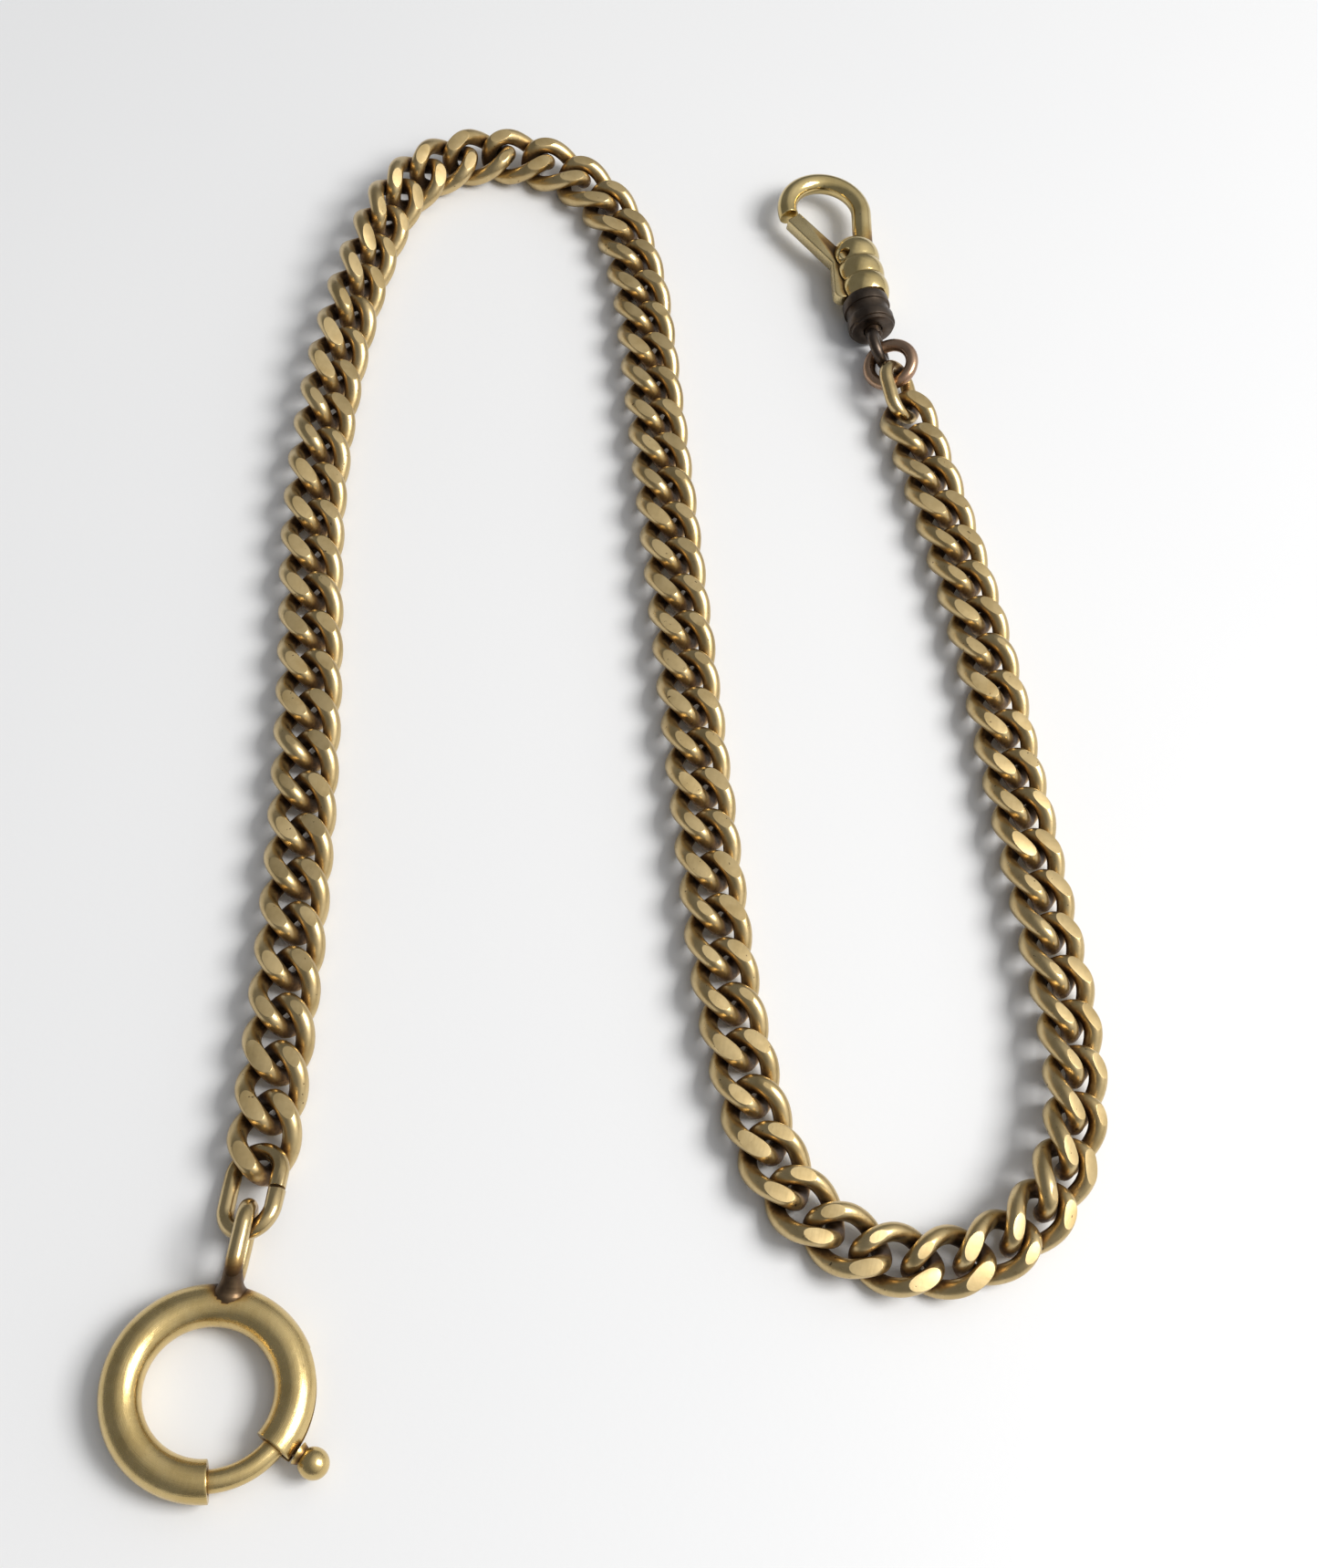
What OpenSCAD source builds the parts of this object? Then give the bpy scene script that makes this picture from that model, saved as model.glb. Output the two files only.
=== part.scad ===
// Pocket watch chain: a curb chain with a spring ring at one end and a swivel hook at the other,
// lying on a flat surface. Millimetres, +Z up, origin on the surface under the spring ring's centre.

/* [Chain] */
// Distance between the centres of two neighbouring links
pitch = 3.6; // [3.55:0.05:3.65]
// Diameter of the links' wire
wire_d = 1.42; // [1.2:0.02:1.44]
// Thickness of the chain between its filed flats
link_t = 2.9; // [2.8:0.05:3]

/* [Spring ring] */
// Radius of the tube's centre line
ring_r = 5.6; // [5.4:0.1:5.8]
// Outer diameter of the tube
tube_d = 2.8; // [2.7:0.1:2.9]
// Diameter of the bolt that slides in the tube
bolt_d = 1.5; // [1.3:0.05:1.5]
// Diameter of the ball on the thumb stud
ball_d = 2.1; // [1.8:0.1:2.4]

/* [Swivel] */
// Diameter of the dark barrel
barrel_d = 4.2; // [4:0.1:4.4]
// Diameter of each lump of the scalloped body
lump_d = 4.4; // [4.2:0.1:4.5]
// Diameter of the hook's wire
hook_d = 1.8; // [1.5:0.1:1.9]

/* [Hidden] */
$fn = 48;
COLOUR_GOLD = "#b89a5e";
COLOUR_DARK = "#4a3626";

// ---- the chain's route: runs of [number of links, turn of each in degrees, roll reached at the end]
FIRST_HEADING = 99.5;
FIRST_LINK = [-1.7, 17.3];
RUNS = [
    [12, 0.6, 0], [8, -1.6, 20], [3, -2.5, 35],
    [1, -12, 35], [1, -17, 30], [5, -19.5, 0], [1, -15, 0], [1, -9, 0], [2, -4, 0],
    [16, 0, 0], [4, 2, 0],
    [1, 7, 0], [1, 13, 0], [6, 18.5, 25], [1, 14, 30], [1, 12, 30], [1, 8, 25], [2, 4, 15],
    [6, 0, 0], [8, 1, 0]
];
// one entry per link after the first: [turn, roll]
STEPS = [for (r = [0 : len(RUNS) - 1]) for (j = [1 : RUNS[r][0]])
    let (before = r == 0 ? 0 : RUNS[r - 1][2]) [RUNS[r][1], before + (RUNS[r][2] - before) * j / RUNS[r][0]]];
LINKS = len(STEPS) + 2;
function total(v, n, i = 0) = i >= n ? 0 : v[i][0] + total(v, n, i + 1);
function step_heading(i) = FIRST_HEADING + total(STEPS, min(i, len(STEPS)));
function link_heading(i) = i == 0 ? FIRST_HEADING : (step_heading(i - 1) + step_heading(i)) / 2;
function link_roll(i) = i == 0 ? 0 : STEPS[min(i, len(STEPS)) - 1][1];
function walk(n, i = 0, at = FIRST_LINK) =
    i == n ? [at] : concat([at], walk(n, i + 1, at + pitch * [cos(step_heading(i)), sin(step_heading(i))]));
PLACES = walk(LINKS - 1);

// ---- one curb link: an oval of wire, twisted about its length, its top and bottom filed flat
LINK_A = pitch * 0.75;
LINK_B = 1.95;
LINK_TWIST = 58;
LINK_SQUARENESS = 2.4;
LINK_RINGS = 16;
LINK_SIDES = 6;
LINK_W = 2 * LINK_B + wire_d;
function spread(v) = sign(v) * pow(abs(v), 2 / LINK_SQUARENESS);
function link_point(t) =
    let (x = LINK_A * spread(cos(t)), y = LINK_B * spread(sin(t)), w = -LINK_TWIST * x / LINK_A)
    [x, y * cos(w), y * sin(w)];
function unit(v) = v / norm(v);
function wire_point(t, s) =
    let (c = link_point(t), along = unit(link_point(t + 4) - link_point(t - 4)),
         out = unit(c - (c * along) * along), up = cross(out, along),
         q = c + wire_d / 2 * (cos(s) * out + sin(s) * up))
    [q.x, q.y, min(max(q.z, -link_t / 2), link_t / 2)];
LINK_POINTS = [for (i = [0 : LINK_RINGS - 1]) for (j = [0 : LINK_SIDES - 1])
    wire_point((i + 0.5) * 360 / LINK_RINGS, j * 360 / LINK_SIDES)];
function link_index(i, j) = (i % LINK_RINGS) * LINK_SIDES + j % LINK_SIDES;
LINK_FACES = [for (i = [0 : LINK_RINGS - 1]) for (j = [0 : LINK_SIDES - 1]) for (half = [0, 1])
    half == 0 ? [link_index(i, j), link_index(i + 1, j + 1), link_index(i + 1, j)]
              : [link_index(i, j), link_index(i, j + 1), link_index(i + 1, j + 1)]];
// a rolled link stands on its edge, which is rounded to EDGE_R
EDGE_R = 1.35;
function link_height(i) = EDGE_R + (link_t / 2 - EDGE_R) * cos(link_roll(i))
    + (LINK_W / 2 - EDGE_R) * abs(sin(link_roll(i)));

module curb_link(i) {
    translate([PLACES[i].x, PLACES[i].y, link_height(i)])
        rotate([0, 0, link_heading(i)]) rotate([link_roll(i), 0, 0])
            polyhedron(LINK_POINTS, LINK_FACES);
}

// ---- a closed loop of round wire, long axis on X: two half rings joined by two straight bars
module loop(half_l, half_w, d) {
    bar = half_l - half_w;
    for (side = [0, 180]) rotate(side) {
        translate([bar, 0]) rotate([0, 0, -90])
            rotate_extrude(angle = 180) translate([half_w, 0]) circle(d = d);
        translate([-bar, half_w]) rotate([0, 90]) cylinder(d = d, h = 2 * bar);
    }
}

// ---- the spring ring
RING_Z = tube_d / 2;
BORE_PLAY = 0.16;
BORE_D = bolt_d + BORE_PLAY;
GAP_FROM = -72;
GAP_TO = -25;
SEAT = 4;
STUD_AT = -19;
BOLT_TAIL = -8;
BOLT_TRAVEL = 50;
SLOT_W = 0.9;
// the slot starts in the gap, and leaves the stud room at the end of its travel
SLOT_LEAD = 4;
SLOT_ROOM = 7;
SLOT_FROM = GAP_TO - SLOT_LEAD;
SLOT_TO = STUD_AT + BOLT_TRAVEL + SLOT_ROOM;
SPRING_FROM = BOLT_TAIL + BOLT_TRAVEL + SEAT;
SPRING_TO = 130;
SPRING_D = bolt_d - 0.1;
SPRING_HOLE_D = 0.9;
STUD_D = 0.7;
STUD_FOOT = 15;
BALL_AT = 8.3;

module ring_arc(from, to) {
    rotate(from) rotate_extrude(angle = to - from) translate([ring_r, 0]) children();
}
module ring_case() color(COLOUR_GOLD) translate([0, 0, RING_Z]) difference() {
    ring_arc(GAP_TO, GAP_FROM + 360) difference() {
        circle(d = tube_d);
        circle(d = BORE_D);
    }
    rotate(SLOT_FROM) rotate_extrude(angle = SLOT_TO - SLOT_FROM)
        translate([ring_r + BORE_D / 4, -SLOT_W / 2]) square([tube_d, SLOT_W]);
}
module ring_tongue() color(COLOUR_GOLD) translate([0, 0, RING_Z])
    ring_arc(GAP_FROM - SEAT, BOLT_TAIL) circle(d = bolt_d);
module thumb_stud() color(COLOUR_GOLD) translate([0, 0, RING_Z]) rotate(STUD_AT) {
    difference() {
        translate([ring_r, 0]) rotate([0, 90]) cylinder(d = STUD_D, h = BALL_AT - ring_r);
        ring_arc(-STUD_FOOT, STUD_FOOT) circle(d = bolt_d);
    }
    translate([BALL_AT, 0]) sphere(d = ball_d);
}
module ring_spring() color(COLOUR_DARK) translate([0, 0, RING_Z])
    ring_arc(SPRING_FROM, SPRING_TO) difference() {
        circle(d = SPRING_D);
        circle(d = SPRING_HOLE_D);
    }

// ---- the upright eye and the oval ring in it
EYE_D = 1.2;
EYE_HALF_H = 1.6;
EYE_HEADING = 95;
EYE_NEAR = ring_r + tube_d / 2 + 0.1;
EYE_FAR = 12.1;
EYE_Z = EYE_HALF_H + EYE_D / 2;
EYE_FOOT = 40;
OVAL_D = 1.2;
OVAL_HALF_L = 2.97;
OVAL_HALF_W = 1.85;
OVAL_TILT = 8;
OVAL_ROLL = -28;
SEAM = 0.12;
OVAL_NEAR = EYE_FAR - (EYE_D + OVAL_D) / 2 - 0.45;
OVAL_START = OVAL_NEAR * [cos(EYE_HEADING), sin(EYE_HEADING)];
OVAL_HEADING = atan2(FIRST_LINK.y - OVAL_START.y, FIRST_LINK.x - OVAL_START.x);

module ring_eye() color(COLOUR_GOLD) difference() {
    rotate(EYE_HEADING) translate([(EYE_NEAR + EYE_FAR) / 2, 0, EYE_Z]) rotate([90, 0])
        loop((EYE_FAR - EYE_NEAR) / 2, EYE_HALF_H, EYE_D);
    translate([0, 0, RING_Z]) ring_arc(EYE_HEADING - EYE_FOOT, EYE_HEADING + EYE_FOOT) circle(d = tube_d);
}
module oval_ring() color(COLOUR_GOLD)
    translate([OVAL_START.x, OVAL_START.y, EYE_Z]) rotate([0, 0, OVAL_HEADING])
        rotate([0, OVAL_TILT]) rotate([OVAL_ROLL, 0]) translate([OVAL_HALF_L, 0]) difference() {
            loop(OVAL_HALF_L, OVAL_HALF_W, OVAL_D);
            rotate(-90) translate([OVAL_HALF_W - OVAL_D, -SEAM / 2, -OVAL_D])
                cube([2 * OVAL_D, SEAM, 2 * OVAL_D]);
        }

// ---- the plain end link, on edge, and the round ring in it
END_D = 1.25;
END_HALF_L = 2.4;
END_HALF_W = 1.65;
END_ROLL = 40;
END_PITCH = 12;
END_Z = link_t / 2 + END_HALF_L * sin(END_PITCH);
SWIVEL_RING_D = 1.1;
SWIVEL_RING_R = 1.95;
SWIVEL_RING_ROLL = -30;
SWIVEL_RING_Z = 2.2;
SLACK = 0.3;
LAST = LINKS - 1;
END_HEADING = link_heading(LAST);
function ahead(p, heading, d) = p + d * [cos(heading), sin(heading)];
END_AT = ahead(PLACES[LAST], END_HEADING, LINK_A - (wire_d + END_D) / 2 + END_HALF_L - SLACK);
SWIVEL_RING_AT = ahead(END_AT, END_HEADING, END_HALF_L - (END_D + SWIVEL_RING_D) / 2 + SWIVEL_RING_R - SLACK);

module end_link() color(COLOUR_GOLD) translate([END_AT.x, END_AT.y, END_Z]) rotate([0, 0, END_HEADING])
    rotate([0, -END_PITCH]) rotate([END_ROLL, 0]) loop(END_HALF_L, END_HALF_W, END_D);
module swivel_ring() color(COLOUR_GOLD) translate([SWIVEL_RING_AT.x, SWIVEL_RING_AT.y, SWIVEL_RING_Z])
    rotate([0, 0, END_HEADING]) rotate([SWIVEL_RING_ROLL, 0])
        rotate_extrude() translate([SWIVEL_RING_R, 0]) circle(d = SWIVEL_RING_D);

// ---- the swivel, long axis on its own X, from its eye to the tip of the hook
SWIVEL_HEADING = 113;
SWIVEL_SWING = 20;
EYE_ROLL = 60;
SWIVEL_Z = lump_d / 2;
EYE_LOOP_D = 1;
EYE_LOOP_R = 1.45;
STEM_D = 1.5;
STEM_HEAD_D = 2.6;
STEM_HEAD_L = 0.8;
STEM_HEAD_AT = 1.2;
EYE_GAP = 0.15;
EYE_AT = ahead(SWIVEL_RING_AT, SWIVEL_HEADING + SWIVEL_SWING, SWIVEL_RING_R);
BARREL_FROM = EYE_LOOP_R + EYE_LOOP_D / 2 + EYE_GAP;
BARREL_L = 3.4;
RIM_H = 0.2;
RIM_W = 0.9;
RIM_AT = 0.3;
BARREL_TO = BARREL_FROM + BARREL_L;
FIT = 0.08;
LUMPS = 3;
LUMP_STEP = 1.9;
FIRST_LUMP = BARREL_TO + 1;
BODY_SHIFT = -0.3;
BODY_TO = FIRST_LUMP + LUMP_STEP * (LUMPS - 1) + lump_d / 2;
BOW_R = 3.45;
BOW_AT = [16.3, 1.25];
BOW_FROM = -101;
BOW_TO = 96;
SHANK_L = 6;
PIVOT = [9.9, 1.15];
PIVOT_D = 0.9;
PIVOT_PLAY = 0.1;
PIN_L = 2.7;
GATE_T = 1.2;
GATE_W = 1.5;
GATE_TIP = [15.45, 4.47];
GATE_TAIL = [6.4, 1.9];
SLOT_FLOOR = -0.3;
SLOT_T = GATE_T + 0.3;
LEAF_T = 0.2;
LEAF_L = 3;
LEAF_AT = 0.6;

module in_swivel() translate([EYE_AT.x, EYE_AT.y, SWIVEL_Z]) rotate([0, 0, SWIVEL_HEADING]) children();
module swivel_eye() color(COLOUR_DARK) in_swivel() {
    rotate([EYE_ROLL, 0]) rotate_extrude() translate([EYE_LOOP_R, 0]) circle(d = EYE_LOOP_D);
    translate([EYE_LOOP_R, 0]) rotate([0, 90])
        cylinder(d = STEM_D, h = BARREL_FROM + STEM_HEAD_AT + STEM_HEAD_L / 2 - EYE_LOOP_R);
    translate([BARREL_FROM + STEM_HEAD_AT, 0]) rotate([0, 90]) cylinder(d = STEM_HEAD_D, h = STEM_HEAD_L);
}
module swivel_barrel() color(COLOUR_DARK) in_swivel() translate([BARREL_FROM, 0]) rotate([0, 90])
difference() {
    rotate_extrude() {
        square([barrel_d / 2 - RIM_H, BARREL_L]);
        for (at = [RIM_AT, BARREL_L - RIM_AT - RIM_W]) translate([0, at]) square([barrel_d / 2, RIM_W]);
    }
    translate([0, 0, -STEM_HEAD_AT]) cylinder(d = STEM_D + 2 * FIT, h = 2 * STEM_HEAD_AT + STEM_HEAD_L);
    translate([0, 0, STEM_HEAD_AT - FIT]) cylinder(d = STEM_HEAD_D + 2 * FIT, h = STEM_HEAD_L + 2 * FIT);
}
module lumps() translate([0, BODY_SHIFT]) rotate([0, 90]) rotate_extrude() intersection() {
    for (i = [0 : LUMPS - 1]) translate([0, FIRST_LUMP + i * LUMP_STEP]) circle(d = lump_d);
    translate([0, BARREL_TO]) square([lump_d, BODY_TO - BARREL_TO]);
}
module swivel_body() color(COLOUR_GOLD) in_swivel() difference() {
    lumps();
    translate([0, SLOT_FLOOR, -SLOT_T / 2]) cube([BODY_TO + lump_d, lump_d, SLOT_T]);
    translate([PIVOT.x, PIVOT.y, -lump_d]) cylinder(d = PIVOT_D, h = 2 * lump_d);
}
module hook() color(COLOUR_GOLD) in_swivel() difference() {
    translate([BOW_AT.x, BOW_AT.y]) {
        rotate(BOW_FROM) rotate_extrude(angle = BOW_TO - BOW_FROM) translate([BOW_R, 0]) circle(d = hook_d);
        rotate(BOW_FROM) translate([BOW_R, 0]) rotate([90, 0]) cylinder(d = hook_d, h = SHANK_L);
    }
    lumps();
}
module bar(from, to, w) {
    span = to - from;
    translate(from) rotate(atan2(span.y, span.x)) translate([0, -w / 2]) square([norm(span), w]);
}
module gate() color(COLOUR_GOLD) in_swivel() translate([0, 0, -GATE_T / 2]) difference() {
    linear_extrude(GATE_T) {
        bar(PIVOT, GATE_TIP, GATE_W);
        bar(GATE_TAIL, PIVOT, GATE_W);
        translate(PIVOT) circle(d = GATE_W);
        translate(GATE_TAIL) circle(d = GATE_W);
    }
    translate([PIVOT.x, PIVOT.y, -GATE_T]) cylinder(d = PIVOT_D + PIVOT_PLAY, h = 3 * GATE_T);
}
module gate_pin() color(COLOUR_GOLD) in_swivel() translate([PIVOT.x, PIVOT.y, -PIN_L / 2])
    cylinder(d = PIVOT_D, h = PIN_L);
module gate_spring() color(COLOUR_DARK) in_swivel()
    translate([BARREL_TO + LEAF_AT, SLOT_FLOOR, -GATE_T / 2]) cube([LEAF_L, LEAF_T, GATE_T]);

// ---- the curb links share a node two by two
function two_digits(k) = str(k < 10 ? "0" : "", k);
function group_name(k) = str("links_", two_digits(k));
GROUPS = ceil(LINKS / 2);
module link_group(k) color(COLOUR_GOLD)
    for (i = [2 * k - 2 : min(2 * k - 1, LINKS - 1)]) curb_link(i);

ring_case();
ring_tongue();
thumb_stud();
ring_spring();
ring_eye();
oval_ring();
for (k = [1 : GROUPS]) link_group(k);
end_link();
swivel_ring();
swivel_eye();
swivel_barrel();
swivel_body();
hook();
gate();
gate_pin();
gate_spring();
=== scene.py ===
"""A gold-plated pocket watch chain, laid in a loose S: curb links, a spring ring and a swivel hook.

Pieces are shaped in millimetres and degrees, and piece() brings them to metres.
"""

import math
import random

import bmesh
import bpy
import numpy as np
from mathutils import Matrix, Vector
from mathutils.bvhtree import BVHTree


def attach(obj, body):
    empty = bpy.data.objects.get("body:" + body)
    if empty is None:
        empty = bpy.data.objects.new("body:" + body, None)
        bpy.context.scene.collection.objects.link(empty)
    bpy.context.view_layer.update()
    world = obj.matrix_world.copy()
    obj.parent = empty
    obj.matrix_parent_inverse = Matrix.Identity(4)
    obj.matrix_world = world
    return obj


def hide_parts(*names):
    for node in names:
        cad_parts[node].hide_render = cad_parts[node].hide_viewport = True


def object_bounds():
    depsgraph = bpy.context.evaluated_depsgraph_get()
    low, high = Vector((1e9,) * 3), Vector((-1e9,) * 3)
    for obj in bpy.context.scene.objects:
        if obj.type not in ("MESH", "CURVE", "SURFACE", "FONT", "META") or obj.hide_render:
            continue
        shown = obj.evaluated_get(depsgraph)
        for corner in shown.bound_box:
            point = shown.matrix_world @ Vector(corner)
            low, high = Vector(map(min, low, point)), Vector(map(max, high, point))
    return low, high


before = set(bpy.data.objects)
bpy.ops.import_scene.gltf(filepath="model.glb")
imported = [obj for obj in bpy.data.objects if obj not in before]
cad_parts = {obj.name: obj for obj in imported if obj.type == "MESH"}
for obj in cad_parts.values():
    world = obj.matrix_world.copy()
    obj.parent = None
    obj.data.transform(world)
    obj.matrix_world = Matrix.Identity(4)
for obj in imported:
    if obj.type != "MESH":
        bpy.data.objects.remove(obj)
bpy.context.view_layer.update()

# ---- Camera
# It leans over the table in front of the spring ring, close enough that the near end looks large,
# and it is turned a little to the left.
LENS_MM = 46.55
CAMERA_AT = Vector((0.01876, -0.02455, 0.13825))
LOOK_DOWN = math.radians(60.8)
CAMERA_ROLL = 0.2456


def new_camera():
    side = Vector((1, 0, 0))
    ahead = Vector((0, math.cos(LOOK_DOWN), -math.sin(LOOK_DOWN)))
    up = side.cross(ahead)
    x = math.cos(CAMERA_ROLL) * side + math.sin(CAMERA_ROLL) * up
    y = math.cos(CAMERA_ROLL) * up - math.sin(CAMERA_ROLL) * side
    camera = bpy.data.objects.new("camera", bpy.data.cameras.new("camera"))
    camera.data.lens = LENS_MM
    camera.data.clip_start = 0.005
    camera.matrix_world = Matrix.Translation(CAMERA_AT) @ Matrix((x, y, -ahead)).transposed().to_4x4()
    bpy.context.scene.collection.objects.link(camera)
    bpy.context.scene.camera = camera


new_camera()

# ---- Curb links
# Each link is an oval of round brass wire, twisted about its length so that it lies flat in the next.
# The finished chain is filed flat above and below, then gold plated. Handling has worn the plate.
MM = 0.001
SAME_PLACE = 1e-4
PITCH = 3.6
WIRE_D = 1.38
LINK_T = 2.9
LINK_A = 0.75 * PITCH
LINK_B = 1.87
LINK_TWIST = 58
LINK_SQUARENESS = 2.4
TANGENT_STEP = 4
LINKS_PER_NODE = 2
WIRE_RINGS = 96
WIRE_SIDES = 24
FILE_TILT = 0.075
FILE_DEPTH = 0.07
FLAT_EDGE = 0.13
EDGE_CUTS = 3
FILE_SNAP = 0.004
LIFT = 0.6
RING_CENTRE = Vector((0, 0, 0))
# How far the rays reach, and how far out they start, that bake painted shade and tarnish into hidden places,
# in millimetres.
SHADE_TARNISH_REACH = 2.2
SHADE_TARNISH_START = 0.04
GOLD = (0.62, 0.475, 0.245)
WARM_GOLD = (0.50, 0.37, 0.175)
BROWN = (0.10, 0.066, 0.042)
# The colour ramp from clean plate to painted shade and tarnish.
SHADE_AND_STAIN_STOPS = [(0, (1, 1, 1)), (0.35, (0.76, 0.64, 0.47)), (0.7, (0.32, 0.22, 0.14))]
PIT_COLOUR = (0.07, 0.04, 0.02, 1)
PIT_EDGE = (0.70, 0.76)
TONE_EDGE = (0.35, 0.7)
BLOTCHES = {"scale": 420, "detail": 4, "roughness": 0.6}
FINE_GRAIN = {"scale": 2600, "detail": 4, "roughness": 0.65}
PITS = {"scale": 2400, "detail": 2, "roughness": 0.5}
MARKS = {"scale": 1, "detail": 2, "roughness": 0.5}
SCRATCHES = {"scale": (5200, 700, 5200), "turn": (0, 0, 0.5)}
CROSS_MARKS = {"scale": (600, 4700, 4700), "turn": (0, 0, 0.9)}
BUMP = {"Strength": 0.26, "Distance": 0.00003}
hand = random.Random(11)
pieces = []


def turned(*turns):
    """A turn made of several, each (degrees, axis); the last one given is made first."""
    whole = Matrix.Identity(4)
    for degrees, axis in turns:
        whole = whole @ Matrix.Rotation(math.radians(degrees), 4, axis)
    return whole


def moved(x, y, z=0):
    return Matrix.Translation((x, y, z))


def direction(heading):
    return Vector((math.cos(math.radians(heading)), math.sin(math.radians(heading)), 0))


def heading_of(way):
    return math.degrees(math.atan2(way.y, way.x))


def only(kind, items):
    return [item for item in items if isinstance(item, kind)]


def take_in(shape, other):
    """Adds the other bmesh to this one, and frees it."""
    spare = bpy.data.meshes.new("spare")
    other.to_mesh(spare)
    other.free()
    shape.from_mesh(spare)
    bpy.data.meshes.remove(spare)


def loose_parts(node):
    """The corners of each separate solid in a CAD node, in millimetres."""
    copy = bmesh.new()
    copy.from_mesh(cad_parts[node].data)
    bmesh.ops.remove_doubles(copy, verts=copy.verts, dist=SAME_PLACE * MM)
    left, parts = set(copy.verts), []
    while left:
        found, waiting = set(), [left.pop()]
        while waiting:
            vertex = waiting.pop()
            found.add(vertex)
            for edge in vertex.link_edges:
                other = edge.other_vert(vertex)
                if other in left:
                    left.remove(other)
                    waiting.append(other)
        parts.append(np.array([vertex.co / MM for vertex in copy.verts if vertex in found]))
    copy.free()
    return parts


def link_place(corners, ahead):
    """Where a link lies: its own axes are the directions it is longest, next longest and shortest in."""
    at = corners.mean(axis=0)
    axes = np.linalg.eigh(np.cov((corners - at).T))[1]
    along, across = Vector(axes[:, 2]), Vector(axes[:, 1])
    if along.dot(ahead) < 0:
        along = -along
    if along.cross(across).z < 0:
        across = -across
    turn = Matrix((along, across, along.cross(across))).transposed()
    return Matrix.Translation(at) @ turn.to_4x4()


def link_places():
    """Where each curb link lies and how low it reaches, in order along the chain, from the CAD's links."""
    middles = []
    for node in sorted(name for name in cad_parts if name.startswith("links_")):
        parts = loose_parts(node)
        before = middles[-1][0] if middles else RING_CENTRE
        parts.sort(key=lambda corners: (Vector(corners.mean(axis=0)) - before).length)
        middles += [(Vector(corners.mean(axis=0)), corners) for corners in parts]
    places, lows = [], []
    for index, (_, corners) in enumerate(middles):
        after = middles[min(index + 1, len(middles) - 1)][0]
        before = middles[max(index - 1, 0)][0]
        places.append(link_place(corners, after - before))
        lows.append(corners[:, 2].min())
    return places, lows


def spun(profile, axis, degrees, steps):
    """Spins a bmesh's profile about an axis through the origin. All the way round, it closes."""
    whole = abs(degrees) >= 360
    made = bmesh.ops.spin(profile, geom=profile.verts[:] + profile.edges[:], cent=(0, 0, 0), axis=axis,
                          angle=math.radians(degrees), steps=steps, use_merge=whole)
    if whole:
        bmesh.ops.remove_doubles(profile, verts=profile.verts, dist=SAME_PLACE / 10)
    return made["geom_last"]


def wire_profile(radius, wire_d, sides=WIRE_SIDES):
    """The wire's round section, upright, at a distance from the Z axis along X."""
    shape = bmesh.new()
    bmesh.ops.create_circle(shape, segments=sides, radius=wire_d / 2,
                            matrix=moved(radius, 0) @ turned((90, "X")))
    return shape


def link_point(turn):
    squash = 2 / LINK_SQUARENESS
    x = LINK_A * math.copysign(abs(math.cos(turn)) ** squash, math.cos(turn))
    y = LINK_B * math.copysign(abs(math.sin(turn)) ** squash, math.sin(turn))
    twist = -math.radians(LINK_TWIST) * x / LINK_A
    return Vector((x, y * math.cos(twist), y * math.sin(twist)))


def bent_link():
    """One link as it leaves the pliers, before it is filed: a wide round ring, bent to the twisted oval."""
    ring_r = 4 * WIRE_D
    link = wire_profile(ring_r, WIRE_D)
    spun(link, (0, 0, 1), 360, WIRE_RINGS)
    step = math.radians(TANGENT_STEP)
    for vertex in link.verts:
        turn = math.atan2(vertex.co.y, vertex.co.x)
        centre = link_point(turn)
        along = (link_point(turn + step) - link_point(turn - step)).normalized()
        out = (centre - centre.dot(along) * along).normalized()
        beside = math.hypot(vertex.co.x, vertex.co.y) - ring_r
        vertex.co = centre + beside * out + vertex.co.z * out.cross(along)
    bmesh.ops.recalc_face_normals(link, faces=link.faces)
    return link


def bake_shade_and_tarnish(shape, around, unit=1, rays=28):
    """Gives each vertex how much of its sky other metal hides. The materials paint this as shade, along with
    the tarnish that stays in such places.
    A unit is how long a millimetre is in the shape."""
    reach = SHADE_TARNISH_REACH * unit
    layer = shape.verts.layers.float.get("grime") or shape.verts.layers.float.new("grime")
    shape.normal_update()
    spread = []
    for ray in range(rays):
        up = 1 - (ray + 0.5) / rays
        turn = ray * math.pi * (3 - math.sqrt(5))
        flat = math.sqrt(1 - up * up)
        spread.append(Vector((flat * math.cos(turn), flat * math.sin(turn), up)))
    for vertex in shape.verts:
        lean = Vector((0, 0, 1)).rotation_difference(vertex.normal)
        start, hidden = vertex.co + SHADE_TARNISH_START * unit * vertex.normal, 0
        for ray in spread:
            distance = around.ray_cast(start, lean @ ray, reach)[3]
            if distance is not None:
                hidden += 1 - distance / reach
        vertex[layer] = hidden / rays


def filed(link, side):
    """Files one face of a link flat, the file held a little differently each time, and rounds the edge."""
    lean = Vector((hand.uniform(-FILE_TILT, FILE_TILT), hand.uniform(-FILE_TILT, FILE_TILT), side))
    plane = Vector((0, 0, side * (LINK_T / 2 - hand.uniform(0, FILE_DEPTH))))
    layer = link.faces.layers.float.get("filed") or link.faces.layers.float.new("filed")
    bmesh.ops.bisect_plane(link, geom=link.verts[:] + link.edges[:] + link.faces[:], dist=FILE_SNAP,
                           plane_co=plane, plane_no=lean.normalized(), clear_outer=True)
    rim = [edge for edge in link.edges if edge.is_boundary]
    flats = bmesh.ops.holes_fill(link, edges=rim, sides=0)["faces"]
    for face in flats:
        face[layer] = 1
    bmesh.ops.recalc_face_normals(link, faces=link.faces)
    bmesh.ops.bevel(link, geom=rim, offset=FLAT_EDGE, offset_type="OFFSET", segments=EDGE_CUTS, profile=0.5,
                    affect="EDGES", material=-1, clamp_overlap=True, loop_slide=True)


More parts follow.
